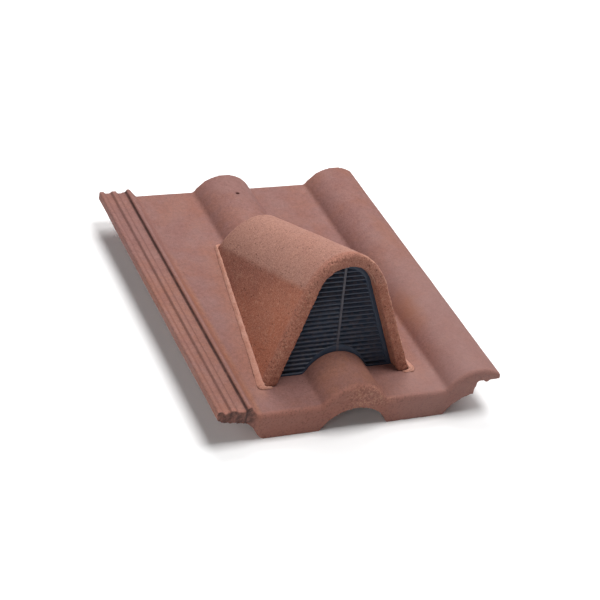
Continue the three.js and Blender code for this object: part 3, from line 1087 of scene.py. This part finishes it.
@dataclass(frozen=True)
class PlasticFinish:
    """Blue-black moulded plastic with a soft sheen, dusty on its up-facing faces, where that lighter
    colour is also a painted highlight, and along its upright.

    Attributes:
        body: Colour of the plastic.
        dust_and_highlight: Colour of dusty plastic, also a painted highlight on up-facing faces.
        facing_up: Share of that colour along how far the surface faces up, as dusty plastic and
            painted highlight.
        dust_and_highlight_noise: Noise that breaks that dusty, lighter colour up.
        dust_and_highlight_share: Its share along that noise.
        upright: The x of the upright's middle.
        upright_width: Share of the dusty colour on the upright along the distance from its middle.
        sheen: Noise of the surface's roughness.
        sheen_range: Roughness along that noise.
        mould: Noise of the mould's fine relief.
        mould_depth: Depth of that relief.
    """

    body: Colour = (43, 55, 73)
    dust_and_highlight: Colour = (112, 94, 88)
    facing_up: Fade = Fade(0.3, 0.9, 0.0, 0.35)
    dust_and_highlight_noise: Noise = Noise(0.006, 4.0, 0.6)
    dust_and_highlight_share: Fade = Fade(0.35, 0.7)
    upright: float = -0.0081
    upright_width: Fade = Fade(0.00128, 0.0016, 0.28, 0.0)
    sheen: Noise = Noise(0.01)
    sheen_range: Fade = Fade(0.3, 0.7, 0.5, 0.65)
    mould: Noise = Noise(0.0008, 2.0, 0.5)
    mould_depth: float = 0.03 * MM

    def material(self) -> bpy.types.Material:
        """Build the material.

        Returns:
            The grille's material.
        """
        c = Canvas("grille_plastic")
        # Up-facing faces take the dusty colour, partly dusty plastic and partly a painted highlight
        # where the light from above falls.
        up = c.fade(c.split(c.normal)[2], self.facing_up)
        up_dust_and_highlight = c.product(up, c.fade(c.noise(self.dust_and_highlight_noise), self.dust_and_highlight_share))
        dusty = c.math("MAXIMUM", up_dust_and_highlight, c.beside(c.x, self.upright, self.upright_width))
        c.finish(
            Base_Color=c.mix(dusty, srgb(*self.body), srgb(*self.dust_and_highlight)),
            Roughness=c.fade(c.noise(self.sheen), self.sheen_range),
            Normal=c.bump(c.noise(self.mould), self.mould_depth),
        )
        return c.material


@dataclass(frozen=True)
class Relief:
    """One layer of roughness pressed into a cast surface.

    Attributes:
        texture: The kind of noise.
        size: Size of its features, in metres.
        depth: Height between its highest and lowest places, in metres.
        octaves: Number of finer octaves.
        where: Share of the relief at a place, or None for all over.
    """

    texture: Texture
    size: float
    depth: float
    octaves: int = 2
    where: Callable[[Vector], float] | None = None


@dataclass(frozen=True)
class Chip:
    """A small piece knocked off an edge.

    Attributes:
        centre: The chip's middle.
        radius: Its size, in metres.
        stretch: How much longer or flatter than that it is along each axis.
    """

    centre: tuple[float, float, float]
    radius: float
    stretch: tuple[float, float, float] = (1.6, 0.8, 0.7)


@dataclass
class CastPiece:
    """A concrete piece: a merged copy of its solid, remeshed finely and roughened.

    Attributes:
        node: The solid's node.
        name: The finished piece's name.
        slot: The piece's material slot; not used.
        voxel: Size of the remeshed faces, in metres.
        keep: Share of the faces left after thinning the flat places.
        smoothing: Number of smoothing passes after the remesh.
        swell: How far the surface is moved outwards, and by half as much pressed down, in metres.
        reliefs: Layers of roughness.
        chips: Places knocked off.
    """

    node: str
    name: str
    slot: Slot
    voxel: float
    keep: float = 1.0
    smoothing: int = 1
    swell: float = 0.0
    reliefs: list[Relief] = field(default_factory=list)
    chips: list[Chip] = field(default_factory=list)

    def knock_off(self, piece: bpy.types.Object) -> None:
        """Take the chips out of the piece.

        Args:
            piece: The piece before it is remeshed.
        """
        for chip in self.chips:
            deselect_all()
            bpy.ops.mesh.primitive_ico_sphere_add(
                subdivisions=3, radius=chip.radius, location=chip.centre)
            cutter = bpy.context.object
            cutter.scale = chip.stretch
            bpy.ops.object.transform_apply(location=False)
            apply_modifier(piece, "BOOLEAN", operation="DIFFERENCE", object=cutter, solver="EXACT")
            bpy.data.objects.remove(cutter)

    def swell_out(self, piece: bpy.types.Object) -> None:
        """Move the piece's surface outwards and press it down by half as much.

        Args:
            piece: The remeshed piece.
        """
        apply_modifier(piece, "DISPLACE", strength=self.swell, mid_level=0.0)
        piece.data.transform(Matrix.Translation((0.0, 0.0, -self.swell / 2)))

    def roughen(self, piece: bpy.types.Object) -> None:
        """Press each layer of relief into the mesh.

        Args:
            piece: The remeshed piece.
        """
        for number, relief in enumerate(self.reliefs):
            texture = bpy.data.textures.new(f"{self.name}_relief_{number}", relief.texture.value)
            texture.noise_scale = relief.size
            if relief.texture is Texture.CLOUDS:
                texture.noise_depth = relief.octaves
            settings = {"texture": texture, "texture_coords": "LOCAL", "strength": relief.depth}
            if relief.where:
                settings["vertex_group"] = self.weigh(piece, f"relief_{number}", relief.where)
            apply_modifier(piece, "DISPLACE", mid_level=0.5, **settings)
        piece.vertex_groups.clear()

    @staticmethod
    def weigh(piece: bpy.types.Object, name: str, where: Callable[[Vector], float]) -> str:
        """Keep the share of a relief at each vertex in a vertex group.

        Args:
            piece: The remeshed piece.
            name: The group's name.
            where: Share of the relief at a place.

        Returns:
            The group's name.
        """
        group = piece.vertex_groups.new(name=name)
        for vertex in piece.data.vertices:
            share = where(vertex.co)
            if share > 0:
                group.add([vertex.index], share, "REPLACE")
        return group.name

    def keep_inside(self, piece: bpy.types.Object) -> None:
        """Bring vertices that the relief pushed out of the solid's box back to its faces.

        Args:
            piece: The roughened piece.
        """
        corners = [Vector(corner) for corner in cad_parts[self.node].bound_box]
        low = [min(corner[axis] for corner in corners) for axis in range(3)]
        high = [max(corner[axis] for corner in corners) for axis in range(3)]
        for vertex in piece.data.vertices:
            vertex.co = [min(high[axis], max(low[axis], vertex.co[axis])) for axis in range(3)]

    def build(self, material: bpy.types.Material) -> bpy.types.Object:
        """Make the finished piece, riding its body and standing for its solid.

        Args:
            material: The piece's finish.

        Returns:
            The finished piece.
        """
        piece = merged_copy(self.node, self.name)
        self.knock_off(piece)
        apply_modifier(piece, "REMESH", mode="VOXEL", voxel_size=self.voxel, adaptivity=0.0)
        apply_modifier(piece, "SMOOTH", iterations=self.smoothing, factor=0.5)
        if self.swell:
            self.swell_out(piece)
        self.roughen(piece)
        if self.keep < 1:
            apply_modifier(piece, "DECIMATE", ratio=self.keep)
        self.keep_inside(piece)
        activate(piece)
        bpy.ops.object.shade_smooth()
        dress(piece, self.node, material)
        return piece


def merged_copy(node: str, name: str) -> bpy.types.Object:
    """A copy of a solid with its loose triangles joined.

    Args:
        node: The solid's node.
        name: The copy's name.

    Returns:
        The copy, with a mesh of its own.
    """
    deselect_all()
    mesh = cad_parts[node].data.copy()
    mesh.materials.clear()
    piece = bpy.data.objects.new(name, mesh)
    bpy.context.scene.collection.objects.link(piece)
    activate(piece)
    bpy.ops.object.mode_set(mode="EDIT")
    bpy.ops.mesh.select_all(action="SELECT")
    bpy.ops.mesh.remove_doubles(threshold=0.02 * MM)
    bpy.ops.mesh.customdata_custom_splitnormals_clear()
    bpy.ops.object.mode_set(mode="OBJECT")
    return piece


def dress(piece: bpy.types.Object, node: str, material: bpy.types.Material) -> None:
    """Give a piece its finish, make it ride the body and stand for its node, and report it.

    Args:
        piece: The finished piece.
        node: The CAD node it replaces.
        material: Its finish.
    """
    piece.data.materials.append(material)
    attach(piece, "root")
    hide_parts(node)
    faces = sum(len(face.vertices) - 2 for face in piece.data.polygons)
    LOG.info("%s: %d triangles", piece.name, faces)


def fading(start: float, fade: float) -> Callable[[float], float]:
    """A share that is 1 below a value and fades to 0 past it.

    Args:
        start: The value up to which the share is whole.
        fade: How far it takes to fade out.

    Returns:
        The share as a function of the value.
    """
    return lambda value: min(1.0, max(0.0, 1 - (value - start) / fade))


@dataclass
class LouvreGrille:
    """The moulded grille in the hood's mouth, its edges eased.

    Attributes:
        edge: Radius of the moulded edges, in metres.
        sharp: Angle past which an edge is eased.
        flat: Angle up to which faces count as one.
    """

    edge: float = 0.28 * MM
    sharp: float = math.radians(35)
    flat: float = math.radians(1)

    def build(self, material: bpy.types.Material) -> bpy.types.Object:
        """Make the grille from a merged copy of its solid.

        Args:
            material: The grille's finish.

        Returns:
            The finished piece.
        """
        piece = merged_copy("louvre_grille", "moulded_grille")
        bpy.ops.object.mode_set(mode="EDIT")
        bpy.ops.mesh.select_all(action="SELECT")
        bpy.ops.mesh.dissolve_limited(angle_limit=self.flat)
        bpy.ops.object.mode_set(mode="OBJECT")
        apply_modifier(piece, "BEVEL", width=self.edge, segments=2, limit_method="ANGLE",
                       angle_limit=self.sharp, use_clamp_overlap=True)
        activate(piece)
        bpy.ops.object.shade_smooth_by_angle(angle=self.sharp)
        dress(piece, "louvre_grille", material)
        return piece


@dataclass(frozen=True)
class Lamp:
    """One soft area lamp that faces the tile.

    Attributes:
        name: The lamp's name.
        place: Where it stands, in metres.
        size: Its width, in metres.
        power: Its power, in watts.
    """

    name: str
    place: tuple[float, float, float]
    size: float
    power: float

    def build(self) -> None:
        """Hang the lamp."""
        light = bpy.data.lights.new(self.name, "AREA")
        light.energy = self.power
        light.size = self.size
        lamp = bpy.data.objects.new(self.name, light)
        lamp.location = self.place
        lamp.rotation_euler = (-Vector(self.place)).to_track_quat("-Z", "Y").to_euler()
        bpy.context.scene.collection.objects.link(lamp)


@dataclass
class Studio:
    """Pale floor, soft light and the camera at the photograph's angle.

    Attributes:
        camera_place: The lens's place, in metres.
        azimuth: Direction the camera stands in, from -Y towards -X when negative.
        elevation: Height of the view above the horizon.
        roll: Turn of the picture.
        lens: Focal length on the sensor, in millimetres.
        sensor: The sensor's width, in millimetres.
        floor_size: The floor's width, in metres.
        floor_colour: The floor's colour.
        floor_roughness: The floor's roughness.
        lamps: The lamps.
        sky: Strength of the even, white surrounding light.
    """

    camera_place: tuple[float, float, float] = (-0.79371, -1.45112, 1.16645)
    azimuth: float = math.radians(-29.18)
    elevation: float = math.radians(34.74)
    roll: float = math.radians(11.88)
    lens: float = 104.13
    sensor: float = 36.0
    floor_size: float = 12.0
    floor_colour: Colour = (250, 250, 250)
    floor_roughness: float = 0.95
    lamps: tuple[Lamp, ...] = (
        Lamp("top_lamp", (0.38, 0.0, 2.15), 1.0, 34.0),
        Lamp("back_lamp", (0.3, 1.35, 1.69), 1.0, 31.5),
        Lamp("right_lamp", (1.4, 0.2, 1.69), 1.0, 11.5),
        Lamp("left_lamp", (-1.7, 0.1, 0.75), 1.4, 7.0),
        Lamp("front_lamp", (-1.46, -1.46, 0.8), 1.0, 8.5),
    )
    sky: float = 0.06

    def floor(self) -> None:
        """A pale floor under the tile."""
        deselect_all()
        bpy.ops.mesh.primitive_plane_add(size=self.floor_size)
        ground = bpy.context.object
        ground.name = "studio_floor"
        c = Canvas("studio_floor")
        c.finish(Base_Color=srgb(*self.floor_colour), Roughness=self.floor_roughness)
        ground.data.materials.append(c.material)

    def sky_light(self) -> None:
        """An even, white surrounding light."""
        world = bpy.data.worlds.new("studio_sky")
        world.use_nodes = True
        background = world.node_tree.nodes["Background"]
        background.inputs["Color"].default_value = (1.0, 1.0, 1.0, 1.0)
        background.inputs["Strength"].default_value = self.sky
        bpy.context.scene.world = world

    def camera(self) -> None:
        """The camera, set as the scene's own."""
        data = bpy.data.cameras.new("photo_camera")
        data.lens = self.lens
        data.sensor_width = self.sensor
        camera = bpy.data.objects.new("photo_camera", data)
        turn = Matrix.Rotation(self.azimuth, 4, "Z")
        tilt = Matrix.Rotation(math.pi / 2 - self.elevation, 4, "X")
        spin = Matrix.Rotation(self.roll, 4, "Z")
        camera.matrix_world = Matrix.Translation(self.camera_place) @ turn @ tilt @ spin
        bpy.context.scene.collection.objects.link(camera)
        bpy.context.scene.camera = camera

    def build(self) -> None:
        """Set up the whole studio."""
        self.floor()
        for lamp in self.lamps:
            lamp.build()
        self.sky_light()
        self.camera()
        bpy.context.scene.view_settings.view_transform = "Standard"


def tile_body() -> CastPiece:
    """The tile: smooth cast faces, a rougher nose, a ragged front end on the lock and the flange.

    Returns:
        The tile's plan, ready to build.
    """
    nose = fading(-0.2070, 0.004)
    ragged_end = fading(-0.2080, 0.004)
    lock = fading(-0.128, 0.008)
    flange = fading(-0.160, 0.010)
    return CastPiece(
        "vent_tile", "weathered_tile", Slot.TILE, voxel=1.25 * MM, keep=0.4,
        reliefs=[
            Relief(Texture.CLOUDS, size=0.06, depth=0.7 * MM, octaves=1),
            Relief(Texture.CLOUDS, size=0.012, depth=0.22 * MM),
            Relief(Texture.CLOUDS, size=0.007, depth=0.9 * MM, octaves=3,
                   where=lambda place: nose(place.y)),
            Relief(Texture.CLOUDS, size=0.0045, depth=2.4 * MM,
                   where=lambda place: ragged_end(place.y) * lock(place.x)),
            Relief(Texture.CLOUDS, size=0.006, depth=1.6 * MM,
                   where=lambda place: ragged_end(place.y) * flange(-place.x)),
        ],
        chips=[Chip((0.079, -0.2105, 0.0315), 3.2 * MM)],
    )


def vent_hood() -> CastPiece:
    """The hood: granular concrete, coarsest along its front edge.

    Returns:
        The hood's plan, ready to build.
    """
    form = HoodForm()
    edge = fading(0.0115, 0.004)
    return CastPiece(
        "vent_hood", "granular_hood", Slot.HOOD, voxel=1.3 * MM, keep=0.88,
        reliefs=[
            Relief(Texture.CLOUDS, size=0.05, depth=1.0 * MM, octaves=1),
            Relief(Texture.CLOUDS, size=0.009, depth=0.45 * MM, octaves=3),
            Relief(Texture.STUCCI, size=0.0022, depth=0.25 * MM),
            Relief(Texture.CLOUDS, size=0.0032, depth=1.7 * MM,
                   where=lambda place: edge(form.behind_at(place))),
        ],
    )


def mortar_bead() -> CastPiece:
    """The bead: a soft, uneven fillet of mortar, pressed into its neighbours.

    Returns:
        The bead's plan, ready to build.
    """
    return CastPiece(
        "mortar_bead", "mortar_fillet", Slot.MORTAR, voxel=0.5 * MM, smoothing=2, swell=0.4 * MM,
        reliefs=[
            Relief(Texture.CLOUDS, size=0.011, depth=1.2 * MM),
            Relief(Texture.CLOUDS, size=0.003, depth=0.5 * MM),
        ],
    )


def main() -> None:
    """Build every piece and the studio around them."""
    logging.basicConfig(level=logging.INFO, format="%(name)s: %(message)s")
    tile_body().build(TileFinish().material())
    vent_hood().build(HoodFinish().material())
    mortar_bead().build(MortarFinish().material())
    LouvreGrille().build(PlasticFinish().material())
    Studio().build()


if __name__ == "__main__":
    main()
